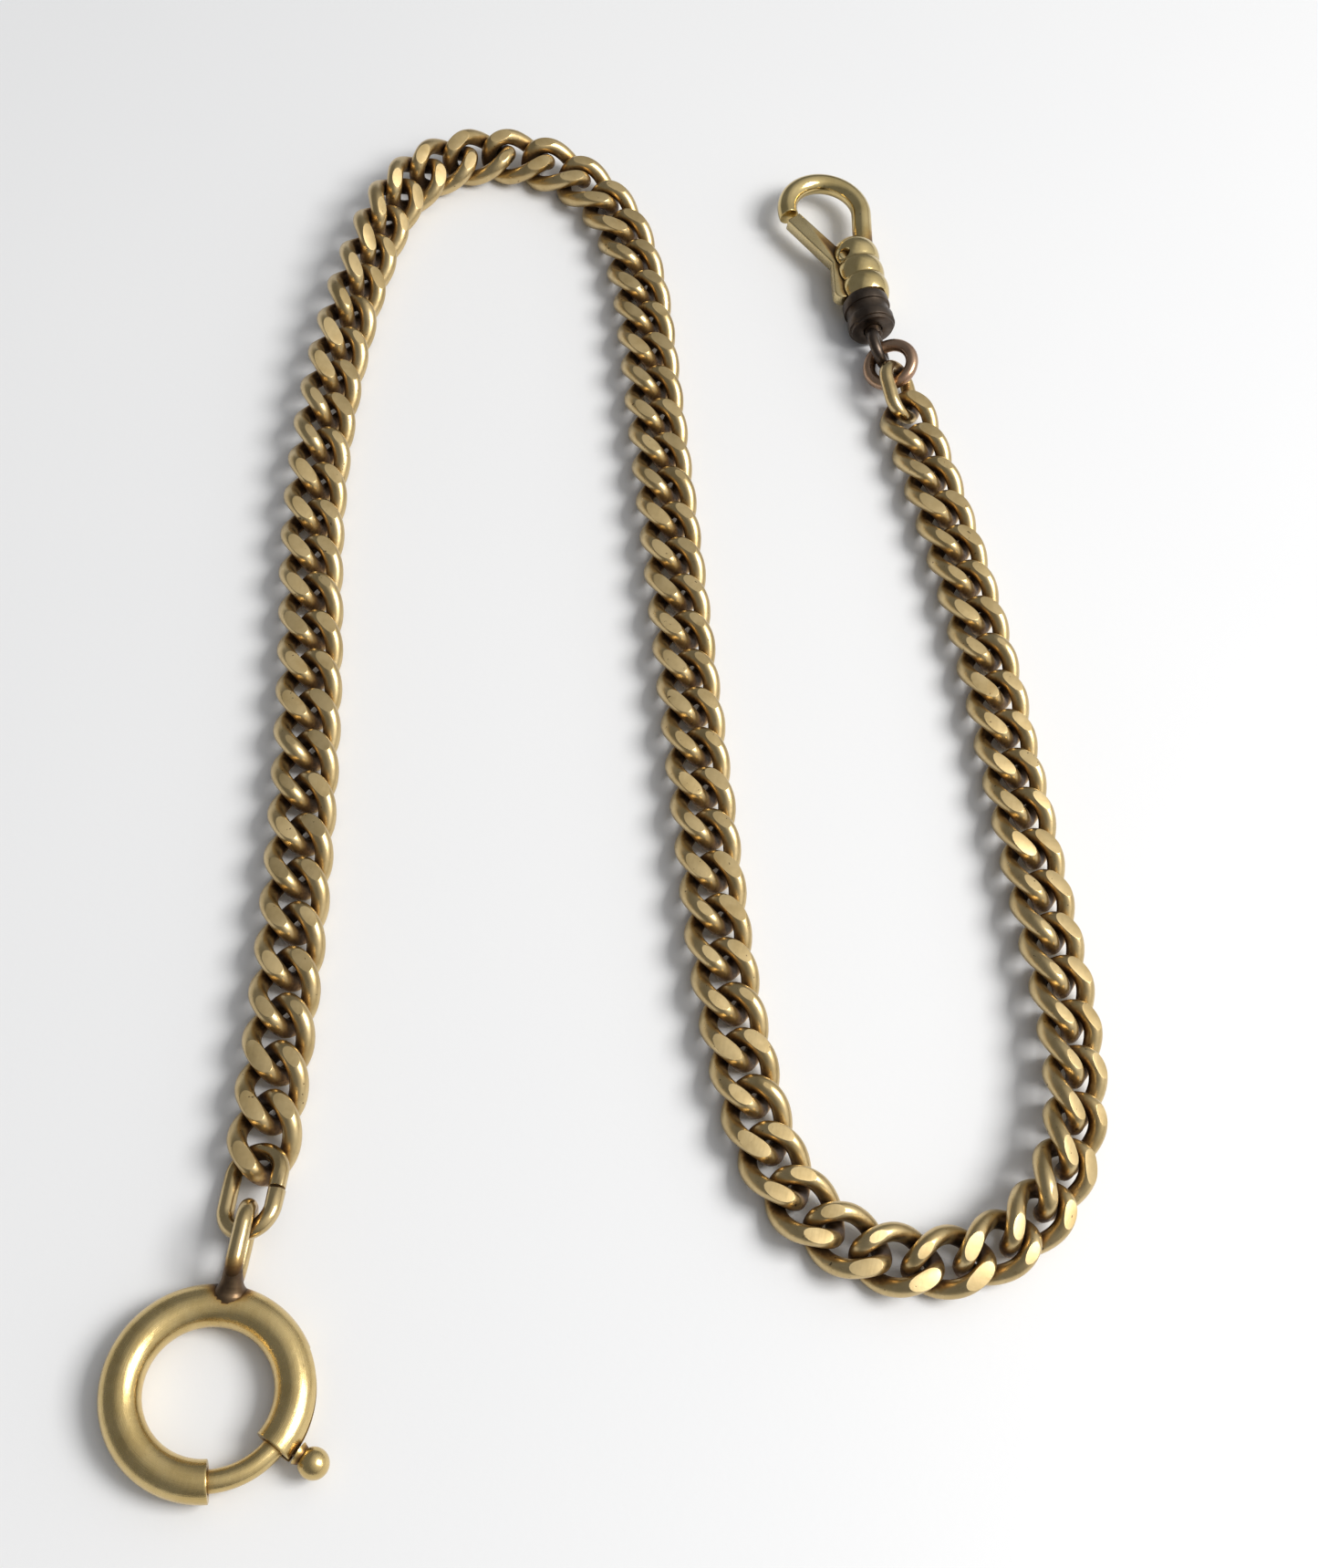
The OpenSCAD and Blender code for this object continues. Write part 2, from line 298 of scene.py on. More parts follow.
class Wire:
    """What comes out of one shader node. Sums on it add Math nodes, and node() adds any other."""

    def __init__(self, tree, socket=None):
        self.tree = tree
        self.socket = socket

    def node(self, kind, settings, sockets, output=0):
        made = self.tree.nodes.new(kind)
        for name, value in settings.items():
            if name == "stops":
                while len(made.color_ramp.elements) < len(value):
                    made.color_ramp.elements.new(1)
                for element, (position, colour) in zip(made.color_ramp.elements, value):
                    element.position = position
                    element.color = (*colour, 1)
            else:
                setattr(made, name, value)
        for name, value in sockets.items():
            if isinstance(value, Wire):
                self.tree.links.new(value.socket, made.inputs[name])
            else:
                made.inputs[name].default_value = value
        return Wire(self.tree, made.outputs[output] if made.outputs else None)

    def math(self, operation, first, second):
        return self.node("ShaderNodeMath", {"operation": operation}, {0: first, 1: second})

    def __add__(self, other):
        return self.math("ADD", self, other)

    __radd__ = __add__

    def __mul__(self, other):
        return self.math("MULTIPLY", self, other)

    __rmul__ = __mul__

    def __sub__(self, other):
        return self.math("SUBTRACT", self, other)

    def __rsub__(self, other):
        return self.math("SUBTRACT", other, self)

    def clamped(self):
        return self.node("ShaderNodeClamp", {}, {"Value": self})

    def between(self, low, high):
        """0 below low, 1 above high, and a smooth ramp between them."""
        return self.node("ShaderNodeMapRange", {"interpolation_type": "SMOOTHSTEP"},
                         {"Value": self, "From Min": low, "From Max": high})

    def noise(self, vector, scale, detail, roughness):
        return self.node("ShaderNodeTexNoise", {}, {"Vector": vector, "Scale": scale, "Detail": detail,
                                                     "Roughness": roughness})

    def blend(self, share, first, second):
        return self.node("ShaderNodeMix", {"data_type": "RGBA"}, {0: share, 6: first, 7: second}, output=2)


def attribute(wire, name):
    return wire.node("ShaderNodeAttribute", {"attribute_name": name}, {}, output=2)


def stretched(wire, point, scale, turn):
    return wire.node("ShaderNodeMapping", {}, {"Vector": point, "Scale": scale, "Rotation": turn})


def metal(name, clean, warm, dark, polish, satin, shade_and_stain_range, specks, brushed=None):
    """Plated metal. clean and warm are the plate's two tones, and dark is the deepest painted shade and
    tarnish in its hidden places.
    polish and satin are the roughness of the rubbed and of the filed parts."""
    material = bpy.data.materials.new(name)
    material.use_nodes = True
    tree = material.node_tree
    wire = Wire(tree)
    shader = tree.nodes["Principled BSDF"]
    point = wire.node("ShaderNodeTexCoord", {}, {}, output=3)
    blotch = wire.noise(point, **BLOTCHES)
    fine = wire.noise(point, **FINE_GRAIN)
    # The baked occlusion read here paints shade into hidden places, along with their tarnish; the mask below
    # adds random blotches to it.
    grime = attribute(wire, "grime")
    file_marks = attribute(wire, "filed")
    shade_and_stain = (grime + (blotch - 0.5) * 0.22 + (fine - 0.5) * 0.12).between(*shade_and_stain_range)
    tone = blotch.between(*TONE_EDGE)
    colour = wire.blend(tone, (*clean, 1), (*warm, 1))
    shade_and_stain_tint = wire.node("ShaderNodeValToRGB", {"stops": SHADE_AND_STAIN_STOPS + [(1, dark)]}, {"Fac": shade_and_stain})
    colour = wire.node("ShaderNodeMix", {"data_type": "RGBA", "blend_type": "MULTIPLY"},
                       {0: 1.0, 6: colour, 7: shade_and_stain_tint}, output=2)
    pits = wire.noise(point, **PITS).between(*PIT_EDGE) * specks
    colour = wire.blend(pits, colour, PIT_COLOUR)
    tree.links.new(colour.socket, shader.inputs["Base Color"])
    scratches = wire.noise(stretched(wire, point, **SCRATCHES), **MARKS)
    cross_marks = wire.noise(stretched(wire, point, **CROSS_MARKS), **MARKS)
    rough = (polish + file_marks * (satin - polish) + (fine - 0.5) * 0.16 + (scratches - 0.5) * 0.12
             + shade_and_stain * 0.22)
    if brushed:
        rough = rough + (brushed(wire, point) - 0.5) * 0.3
    tree.links.new(rough.clamped().socket, shader.inputs["Roughness"])
    tree.links.new((1 - shade_and_stain * 0.35).socket, shader.inputs["Metallic"])
    height = scratches * 0.5 + cross_marks * 0.35 + blotch * 0.9 - pits * 0.8
    if brushed:
        height = height + brushed(wire, point) * 0.9
    bump = wire.node("ShaderNodeBump", {}, {**BUMP, "Height": height})
    tree.links.new(bump.socket, shader.inputs["Normal"])
    return material


def smoothed(shape, sharp):
    """Round faces shade smoothly, and edges sharper than so many degrees stay crisp."""
    for face in shape.faces:
        face.smooth = True
    for edge in shape.edges:
        edge.smooth = len(edge.link_faces) != 2 or edge.calc_face_angle(0) < math.radians(sharp)


def piece(name, shape, body, material, node, place=Matrix.Identity(4), sharp=40):
    """Makes a bmesh in millimetres a finished piece, in metres, on its body, in place of its CAD node."""
    bmesh.ops.transform(shape, matrix=place, verts=shape.verts)
    smoothed(shape, sharp)
    bmesh.ops.scale(shape, vec=(MM, MM, MM), verts=shape.verts)
    mesh = bpy.data.meshes.new(name)
    shape.to_mesh(mesh)
    shape.free()
    mesh.materials.append(material)
    made = bpy.data.objects.new(name, mesh)
    bpy.context.scene.collection.objects.link(made)
    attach(made, body)
    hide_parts(node)
    pieces.append(made)


def link_with_baked_shade():
    """An unfiled link, with painted shade and tarnish baked in as it lies with two more on either side."""
    link = bent_link()
    row = link.copy()
    for step in (-2, -1, 1, 2):
        neighbour = link.copy()
        bmesh.ops.translate(neighbour, vec=(step * PITCH, 0, 0), verts=neighbour.verts)
        take_in(row, neighbour)
    bake_shade_and_tarnish(link, BVHTree.FromBMesh(row))
    row.free()
    return link


def add_links(places, lows):
    pattern = link_with_baked_shade()
    for index, place in enumerate(places):
        link = pattern.copy()
        filed(link, 1)
        filed(link, -1)
        bmesh.ops.transform(link, matrix=place, verts=link.verts)
        sunk = lows[index] - min(vertex.co.z for vertex in link.verts)
        bmesh.ops.translate(link, vec=(0, 0, LIFT * sunk), verts=link.verts)
        group = f"links_{index // LINKS_PER_NODE + 1:02d}"
        piece(f"link_{index + 1:02d}", link, group, link_gold, group, sharp=50)
    pattern.free()


link_gold = metal("worn_link_gold", GOLD, WARM_GOLD, BROWN, polish=0.31, satin=0.40,
                  shade_and_stain_range=(0.08, 0.46), specks=0.8)
places, lows = link_places()
add_links(places, lows)

# ---- Spring ring
# A brass tube bent to a ring, with a gap that a sprung rod closes. The rod has a stud for the thumb,
# which slides in a slot on the tube's outer side. The tube is brushed and plated.
RING_R = 5.6
TUBE_D = 2.8
BOLT_D = 1.5
BORE_PLAY = 0.16
BORE_D = BOLT_D + BORE_PLAY
RING_Z = TUBE_D / 2
GAP_FROM = -72
GAP_TO = -25
SEAT = 4
STUD_AT = -19
BOLT_TAIL = -8
BOLT_TRAVEL = 50
SLOT_W = 0.9
SLOT_LEAD = 4
SLOT_ROOM = 7
SLOT_FROM = GAP_TO - SLOT_LEAD
SLOT_TO = STUD_AT + BOLT_TRAVEL + SLOT_ROOM
SPRING_FROM = BOLT_TAIL + BOLT_TRAVEL + SEAT
SPRING_TO = 130
SPRING_TURNS = 26
STUD_D = 0.7
BALL_D = 2.1
BALL_AT = 8.3
RING_STEPS = 192
RIM_EDGE = 0.07
BOLT_EDGE = 0.16
COLLAR = {"radius1": 0.80, "radius2": 0.62, "depth": 0.42}
COLLAR_SUNK = 0.06
COIL_WIRE_R = 0.11
COIL_D = BOLT_D - 0.1
COIL_R = COIL_D / 2 - 0.12
COIL_STEPS = 20
COIL_SIDES = 8
BRUSH_MARKS = {"scale": 1, "detail": 3, "roughness": 0.6}
BRUSH_ALONG = 3.0
BRUSH_ACROSS = 16000


def round_marks(wire, point):
    """Brush marks that run round the ring's centre, from its distance and its bearing."""
    split = point.node("ShaderNodeSeparateXYZ", {}, {0: point})
    x, y, z = (Wire(wire.tree, output) for output in split.socket.node.outputs)
    bearing = wire.math("ARCTAN2", y, x)
    out = wire.math("SQRT", x * x + y * y, 0)
    marks = wire.node("ShaderNodeCombineXYZ", {}, {0: bearing * BRUSH_ALONG, 1: out * BRUSH_ACROSS,
                                                    2: z * BRUSH_ACROSS})
    return wire.noise(marks, **BRUSH_MARKS)


def spin_place(heading):
    return Matrix.Rotation(math.radians(heading), 3, "Z")


def arc(shape, from_heading, to_heading, steps):
    """Spins a section about the Z axis from one heading to another, and gives the edges of both ends."""
    first = shape.edges[:]
    bmesh.ops.rotate(shape, cent=(0, 0, 0), matrix=spin_place(from_heading), verts=shape.verts)
    last = spun(shape, (0, 0, 1), to_heading - from_heading, steps)
    return first, only(bmesh.types.BMEdge, last)


def closed_ends(shape, ends, roundness, segments=3):
    """Fills the open ends of a rod, and rounds their edges."""
    for edges in ends:
        bmesh.ops.contextual_create(shape, geom=edges)
    bmesh.ops.recalc_face_normals(shape, faces=shape.faces)
    rims = [edge for edges in ends for edge in edges if edge.is_valid]
    bmesh.ops.bevel(shape, geom=rims, offset=roundness, offset_type="OFFSET", segments=segments, profile=0.5,
                    affect="EDGES", material=-1, clamp_overlap=True)


def softened(shape, width, segments=2, angle=0.6):
    """Breaks every edge that is sharper than so many radians."""
    edges = [edge for edge in shape.edges if len(edge.link_faces) == 2 and edge.calc_face_angle(0) > angle]
    bmesh.ops.bevel(shape, geom=edges, offset=width, offset_type="OFFSET", segments=segments, profile=0.5,
                    affect="EDGES", material=-1, clamp_overlap=True)
    return shape


def add_rod(shape, diameter, length, place, sides=48):
    """Adds a straight round rod along the place's own Z, with its middle at the place."""
    bmesh.ops.create_cone(shape, cap_ends=True, segments=sides, radius1=diameter / 2, radius2=diameter / 2,
                          depth=length, matrix=place)
    return shape


def add_block(shape, size, place):
    bmesh.ops.create_cube(shape, size=1, matrix=place @ Matrix.Diagonal((*size, 1)))
    return shape


def cut(shape, cutter):
    """Takes the cutter's solid away from the shape's, and frees both."""
    objects = []
    for solid in (shape, cutter):
        mesh = bpy.data.meshes.new("cutting")
        solid.to_mesh(mesh)
        solid.free()
        made = bpy.data.objects.new("cutting", mesh)
        bpy.context.scene.collection.objects.link(made)
        objects.append(made)
    tool = objects[0].modifiers.new("cut", "BOOLEAN")
    tool.operation = "DIFFERENCE"
    tool.solver = "EXACT"
    tool.object = objects[1]
    result = bmesh.new()
    result.from_object(objects[0], bpy.context.evaluated_depsgraph_get())
    for made in objects:
        mesh = made.data
        bpy.data.objects.remove(made)
        bpy.data.meshes.remove(mesh)
    bmesh.ops.remove_doubles(result, verts=result.verts, dist=SAME_PLACE)
    bmesh.ops.dissolve_degenerate(result, edges=result.edges, dist=SAME_PLACE)
    return result


def add_ring_case():
    tube = bmesh.new()
    for diameter in (TUBE_D, BORE_D):
        bmesh.ops.create_circle(tube, segments=40, radius=diameter / 2,
                                matrix=moved(RING_R, 0) @ turned((90, "X")))
    bmesh.ops.bridge_loops(tube, edges=tube.edges)
    wall = tube.faces[:]
    bmesh.ops.rotate(tube, cent=(0, 0, 0), matrix=spin_place(GAP_TO), verts=tube.verts)
    bmesh.ops.spin(tube, geom=wall, cent=(0, 0, 0), axis=(0, 0, 1),
                   angle=math.radians(GAP_FROM + 360 - GAP_TO), steps=RING_STEPS, use_merge=False)
    bmesh.ops.recalc_face_normals(tube, faces=tube.faces)
    softened(tube, RIM_EDGE, angle=1.2)
    slot = bmesh.new()
    bmesh.ops.create_grid(slot, x_segments=1, y_segments=1, size=0.5,
                          matrix=moved(RING_R + BORE_D / 4 + TUBE_D / 2, 0) @ turned((90, "X"))
                          @ Matrix.Diagonal((TUBE_D, SLOT_W, 1, 1)))
    bmesh.ops.rotate(slot, cent=(0, 0, 0), matrix=spin_place(SLOT_FROM), verts=slot.verts)
    bmesh.ops.spin(slot, geom=slot.faces[:], cent=(0, 0, 0), axis=(0, 0, 1),
                   angle=math.radians(SLOT_TO - SLOT_FROM), steps=48, use_merge=False)
    bmesh.ops.recalc_face_normals(slot, faces=slot.faces)
    piece("case_tube", cut(tube, slot), "spring_ring", ring_gold, "ring_case",
          moved(0, 0, RING_Z))


def add_ring_bolt():
    rod = wire_profile(RING_R, BOLT_D, 32)
    closed_ends(rod, arc(rod, GAP_FROM - SEAT, BOLT_TAIL, 72), BOLT_EDGE)
    piece("bolt_rod", rod, "bolt", ring_gold, "ring_tongue", moved(0, 0, RING_Z))
    stud = add_rod(bmesh.new(), STUD_D, BALL_AT - RING_R,
                   moved((BALL_AT + RING_R) / 2, 0) @ turned((90, "Y")), 24)
    bmesh.ops.create_uvsphere(stud, u_segments=40, v_segments=24, radius=BALL_D / 2,
                              matrix=moved(BALL_AT, 0) @ turned((90, "Y")))
    bmesh.ops.create_cone(stud, cap_ends=True, segments=32, **COLLAR,
                          matrix=moved(BALL_AT - BALL_D / 2 + COLLAR_SUNK, 0) @ turned((90, "Y")))
    piece("stud_and_ball", stud, "bolt", ring_gold, "thumb_stud",
          moved(0, 0, RING_Z) @ turned((STUD_AT, "Z")))


def add_ring_spring():
    """The coil behind the rod, wound along the tube's own curve."""
    wire = bmesh.new()
    steps, upright = SPRING_TURNS * COIL_STEPS, Vector((0, 0, 1))
    profile = bmesh.ops.create_circle(wire, segments=COIL_SIDES, radius=COIL_WIRE_R)["verts"]
    section = [vertex.co.copy() for vertex in profile]
    first = rim = wire.edges[:]
    for step in range(steps + 1):
        heading = SPRING_FROM + (SPRING_TO - SPRING_FROM) * step / steps
        turn = 2 * math.pi * SPRING_TURNS * step / steps
        out = direction(heading)
        radial = math.cos(turn) * out + math.sin(turn) * upright
        along = upright.cross(out)
        centre = RING_R * out + COIL_R * radial + RING_Z * upright
        if step:
            grown = bmesh.ops.extrude_edge_only(wire, edges=rim)["geom"]
            rim = only(bmesh.types.BMEdge, grown)
            profile = only(bmesh.types.BMVert, grown)
        for vertex, flat in zip(profile, section):
            vertex.co = centre + flat.x * radial + flat.y * along
    closed_ends(wire, [first, rim], roundness=0.02, segments=1)
    piece("bolt_coil", wire, "spring_ring", spring_steel, "ring_spring")


ring_gold = metal("brushed_ring_gold", (0.69, 0.525, 0.245), (0.60, 0.44, 0.185), BROWN, polish=0.25,
                  satin=0.30, shade_and_stain_range=(0.16, 0.72), specks=0.2, brushed=round_marks)
spring_steel = metal("spring_steel", (0.42, 0.41, 0.40), (0.30, 0.28, 0.25), BROWN, polish=0.28, satin=0.28,
                     shade_and_stain_range=(0.55, 1.2), specks=0.2)
add_ring_case()
add_ring_bolt()
add_ring_spring()

# ---- Upright eye
# A loop of wire that stands on edge and is soldered to the tube. The torch has left its foot dark,
# with a rough collar of solder.
EYE_D = 1.2
EYE_HALF_H = 1.6
EYE_HEADING = 95
EYE_CLEAR = 0.1
EYE_NEAR = RING_R + TUBE_D / 2 + EYE_CLEAR
EYE_FAR = 12.1
EYE_Z = EYE_HALF_H + EYE_D / 2
FOOT_AT = Vector((6.5, 0, 2.28))
FOOT_RISE = 44
FOOT_SQUASH = (1, 0.9, 0.86, 1)
SOLDER_OUTLINE = [(-0.5, 0), (-0.5, 1.22), (-0.05, 1.12), (0.15, 0.95), (0.4, 0.84), (0.75, 0.76),
                  (1.1, 0.71), (1.5, 0.66), (1.62, 0.6), (1.62, 0)]
SOLDER_MIDDLE = Vector((0.4, 0, 0))
SOLDER_LUMPS = 14
LUMP_SIZES = (0.03, 0.08)
NEARLY_ROUND = 359.999


def wire_loop(half_l, half_w, wire_d, seam=0.0, steps=96):
    """A closed loop of round wire with its long axis on X: a ring pulled out at both ends.
    A seam leaves it open by so much, half way along its right-hand side."""
    pull = half_l - half_w
    loop = wire_profile(half_w, wire_d)
    bmesh.ops.rotate(loop, cent=(0, 0, 0), matrix=spin_place(-90), verts=loop.verts)
    first = loop.verts[:]
    first_rim = loop.edges[:]
    if not seam:
        spun(loop, (0, 0, 1), 360, steps)
    else:
        last_rim = only(bmesh.types.BMEdge, spun(loop, (0, 0, 1), NEARLY_ROUND, steps))
        for vertex in first:
            vertex.co += Vector((seam / 2, 0, seam / 2))
        for vertex in {vertex for edge in last_rim for vertex in edge.verts}:
            vertex.co += Vector((-seam / 2, 0, -seam / 2))
    for vertex in loop.verts:
        if abs(vertex.co.x) > seam + 0.01:
            vertex.co.x += math.copysign(pull, vertex.co.x)
    if seam:
        closed_ends(loop, [first_rim, last_rim], roundness=0.08, segments=2)
    bmesh.ops.recalc_face_normals(loop, faces=loop.faces)
    return loop


def lathe(outline, steps=96):
    """Turns a closed outline of (distance along, distance out) points about the X axis."""
    shape = bmesh.new()
    corners = [shape.verts.new((along, 0, out)) for along, out in outline]
    for first, second in zip(corners, corners[1:] + corners[:1]):
        if first.co.z > 0 or second.co.z > 0:
            shape.edges.new((first, second))
    spun(shape, (1, 0, 0), 360, steps)
    bmesh.ops.remove_doubles(shape, verts=shape.verts, dist=SAME_PLACE)
    bmesh.ops.recalc_face_normals(shape, faces=shape.faces)
    return shape


wire_gold = metal("wire_gold", GOLD, WARM_GOLD, BROWN, polish=0.22, satin=0.3, shade_and_stain_range=(0.12, 0.55),
                  specks=0.35)
scorched_gold = metal("scorched_gold", (0.19, 0.125, 0.07), (0.10, 0.065, 0.042), (0.4, 0.3, 0.22),
                      polish=0.42, satin=0.3, shade_and_stain_range=(0.06, 0.6), specks=0.6)


def add_eye():
    eye = wire_loop((EYE_FAR - EYE_NEAR) / 2, EYE_HALF_H, EYE_D)
    upright = turned((EYE_HEADING, "Z")) @ moved((EYE_NEAR + EYE_FAR) / 2, 0, EYE_Z) @ turned((90, "X"))
    piece("upright_eye", eye, "spring_ring", wire_gold, "ring_eye", upright)


def add_solder():
    solder = lathe(SOLDER_OUTLINE, 72)
    bmesh.ops.subdivide_edges(solder, edges=solder.edges, cuts=2, use_grid_fill=True)
    blob = random.Random(4)
    lumps = [(Vector([blob.gauss(0, 1) for _ in range(3)]).normalized(), blob.uniform(*LUMP_SIZES))
             for _ in range(SOLDER_LUMPS)]
    for vertex in solder.verts:
        way = (vertex.co - SOLDER_MIDDLE).normalized()
        swell = sum(size * max(0, way.dot(lump)) ** 6 for lump, size in lumps)
        vertex.co.yz *= 1 + swell
    foot = (turned((EYE_HEADING, "Z")) @ Matrix.Translation(FOOT_AT) @ turned((-FOOT_RISE, "Y"))
            @ Matrix.Diagonal(FOOT_SQUASH))
    piece("eye_solder", solder, "spring_ring", scorched_gold, "ring_eye", foot)


add_eye()
add_solder()

# ---- Oval ring
# A loose oval of wire joins the eye to the first link. It was closed with pliers and never soldered,
# so that its ends still show as a dark seam.
OVAL_D = 1.2
OVAL_HALF_L = 2.97
OVAL_HALF_W = 1.85
OVAL_TILT = 8
OVAL_ROLL = -28
OVAL_SEAM = 0.14
OVAL_SLACK = 0.45
OVAL_START = (EYE_FAR - (EYE_D + OVAL_D) / 2 - OVAL_SLACK) * direction(EYE_HEADING)


def add_oval():
    heading = heading_of(places[0].translation - OVAL_START)
    oval = wire_loop(OVAL_HALF_L, OVAL_HALF_W, OVAL_D, OVAL_SEAM)
    place = (moved(OVAL_START.x, OVAL_START.y, EYE_Z)
             @ turned((heading, "Z"), (OVAL_TILT, "Y"), (OVAL_ROLL, "X")) @ moved(OVAL_HALF_L, 0))
    piece("oval_wire", oval, "oval_ring", wire_gold, "oval_ring", place)


add_oval()

# ---- End link and small round ring
# A plain, bright link stands half on edge in the last curb link. A round ring of redder wire joins it
# to the swivel, and most of its plate has gone.
END_D = 1.25
END_HALF_L = 2.4
END_HALF_W = 1.65
END_ROLL = 40
END_PITCH = 12
END_Z = LINK_T / 2 + END_HALF_L * math.sin(math.radians(END_PITCH))
SMALL_RING_D = 1.1
SMALL_RING_R = 1.95
SMALL_RING_ROLL = -30
SMALL_RING_Z = 2.2
SLACK = 0.3
last_at = places[-1].translation.copy()
last_at.z = 0
end_heading = heading_of(places[-1].col[0])
end_at = last_at + (LINK_A - (WIRE_D + END_D) / 2 + END_HALF_L - SLACK) * direction(end_heading)
end_to_small = END_HALF_L - (END_D + SMALL_RING_D) / 2 + SMALL_RING_R - SLACK
small_ring_at = end_at + end_to_small * direction(end_heading)
copper = metal("worn_copper", (0.46, 0.31, 0.21), (0.34, 0.21, 0.14), BROWN, polish=0.30, satin=0.3,
               shade_and_stain_range=(0.12, 0.6), specks=0.5)


def add_end_rings():
    end = wire_loop(END_HALF_L, END_HALF_W, END_D)
    place = moved(end_at.x, end_at.y, END_Z) @ turned((end_heading, "Z"), (-END_PITCH, "Y"), (END_ROLL, "X"))
    piece("bright_link", end, "end_link", wire_gold, "end_link", place)
    small = wire_loop(SMALL_RING_R, SMALL_RING_R, SMALL_RING_D)
    place = (moved(small_ring_at.x, small_ring_at.y, SMALL_RING_Z)
             @ turned((end_heading, "Z"), (SMALL_RING_ROLL, "X")))
    piece("small_ring", small, "swivel_ring", copper, "swivel_ring", place)


add_end_rings()

# ---- Swivel eye and barrel
# The eye's stem has a head that turns inside the barrel, so that the chain can't wind up. Both are
# steel, and have tarnished almost black.
SWIVEL_HEADING = 113
SWIVEL_SWING = 20
SWIVEL_Z = 2.2
EYE_ROLL = 60
LOOP_D = 1
LOOP_R = 1.45
STEM_D = 1.5
STEM_HEAD_AT = 1.2
STEM_HEAD_D = 2.6
STEM_HEAD_L = 0.8
BARREL_D = 4.2
LOOP_GAP = 0.15
BARREL_FROM = LOOP_R + LOOP_D / 2 + LOOP_GAP
BARREL_L = 3.4
BARREL_TO = BARREL_FROM + BARREL_L
RIM_H = 0.2
RIM_W = 0.9
RIM_AT = 0.3
FIT = 0.08
eye_at = small_ring_at + SMALL_RING_R * direction(SWIVEL_HEADING + SWIVEL_SWING)
swivel = moved(eye_at.x, eye_at.y, SWIVEL_Z) @ turned((SWIVEL_HEADING, "Z"))
black_steel = metal("tarnished_steel", (0.115, 0.09, 0.07), (0.06, 0.045, 0.036), (0.3, 0.2, 0.12),
                    polish=0.36, satin=0.42, shade_and_stain_range=(0.15, 0.8), specks=0.3)


def add_barrel():
    eye = wire_loop(LOOP_R, LOOP_R, LOOP_D)
    bmesh.ops.transform(eye, matrix=turned((EYE_ROLL, "X")), verts=eye.verts)
    neck, head, tip = LOOP_R, BARREL_FROM + STEM_HEAD_AT, BARREL_FROM + STEM_HEAD_AT + STEM_HEAD_L
    stem = lathe([(neck, 0), (neck, STEM_D / 2), (head, STEM_D / 2), (head, STEM_HEAD_D / 2),
                  (tip, STEM_HEAD_D / 2), (tip, 0)], 48)
    take_in(eye, softened(stem, width=0.08))
    piece("barrel_eye", eye, "swivel_eye", black_steel, "swivel_eye", swivel)
    low, high = BARREL_D / 2 - RIM_H, BARREL_D / 2
    start, end, hole = BARREL_FROM, BARREL_TO, STEM_D / 2 + FIT
    well_from, well_to, well = head - FIT, tip + FIT, STEM_HEAD_D / 2 + FIT
    outline = [(start, hole), (start, low), (start + RIM_AT, low), (start + RIM_AT, high),
               (start + RIM_AT + RIM_W, high), (start + RIM_AT + RIM_W, low), (end - RIM_AT - RIM_W, low),
               (end - RIM_AT - RIM_W, high), (end - RIM_AT, high), (end - RIM_AT, low), (end, low), (end, 0),
               (well_to, 0), (well_to, well), (well_from, well), (well_from, hole)]
    piece("black_barrel", softened(lathe(outline), width=0.07), "swivel", black_steel,
          "swivel_barrel", swivel)


add_barrel()

# ---- Swivel body and hook
# The body is turned from one bar into three lumps, then slotted for the gate. The hook is round wire,
# bent to a bow and brazed into the body's end.
LUMP_D = 4.4
LUMPS = 3
LUMP_STEPS = 24
LUMP_STEP = 1.9
LUMP_LEAD = 1
FIRST_LUMP = BARREL_TO + LUMP_LEAD
BODY_TO = FIRST_LUMP + LUMP_STEP * (LUMPS - 1) + LUMP_D / 2
BODY_SHIFT = -0.3
GATE_T = 1.2
GATE_PLAY = 0.3
SLOT_FLOOR = -0.3
SLOT_T = GATE_T + GATE_PLAY
PIVOT = Vector((9.9, 1.15, 0))
PIVOT_D = 0.9
BOW_R = 3.45
BOW_AT = Vector((16.3, 1.25, 0))
BOW_FROM = -101
BOW_TO = 96
SHANK_L = 4.4
HOOK_D = 1.8
swivel_gold = metal("swivel_gold", (0.66, 0.52, 0.25), (0.56, 0.43, 0.19), BROWN, polish=0.18, satin=0.3,
                    shade_and_stain_range=(0.2, 0.75), specks=0.35)


def lump_outline():
    """An arc for each lump, from where it leaves the lump before to where it meets the next."""
    radius = LUMP_D / 2
    half = math.degrees(math.acos(LUMP_STEP / 2 / radius))
    outline = [(BARREL_TO, 0)]
    leaves_barrel = math.degrees(math.acos((FIRST_LUMP - BARREL_TO) / radius))
    for lump in range(LUMPS):
        start = 180 - (half if lump else leaves_barrel)
        end = half if lump < LUMPS - 1 else 0
        for step in range(LUMP_STEPS + 1):
            turn = math.radians(start + (end - start) * step / LUMP_STEPS)
            height = radius * math.sin(turn)
            outline.append((FIRST_LUMP + lump * LUMP_STEP + radius * math.cos(turn),
                            height if height > SAME_PLACE else 0))
    return outline


def add_body():
    body = lathe(lump_outline())
    bmesh.ops.translate(body, vec=(0, BODY_SHIFT, 0), verts=body.verts)
    slot = add_block(bmesh.new(), (BODY_TO + LUMP_D, LUMP_D, SLOT_T),
                     moved((BODY_TO + LUMP_D) / 2, SLOT_FLOOR + LUMP_D / 2))
    bore = add_rod(bmesh.new(), PIVOT_D, 2 * LUMP_D, Matrix.Translation(PIVOT))
    body = softened(cut(cut(body, slot), bore), width=0.06, angle=0.9)
    piece("lumped_body", body, "swivel", swivel_gold, "swivel_body", swivel, sharp=60)


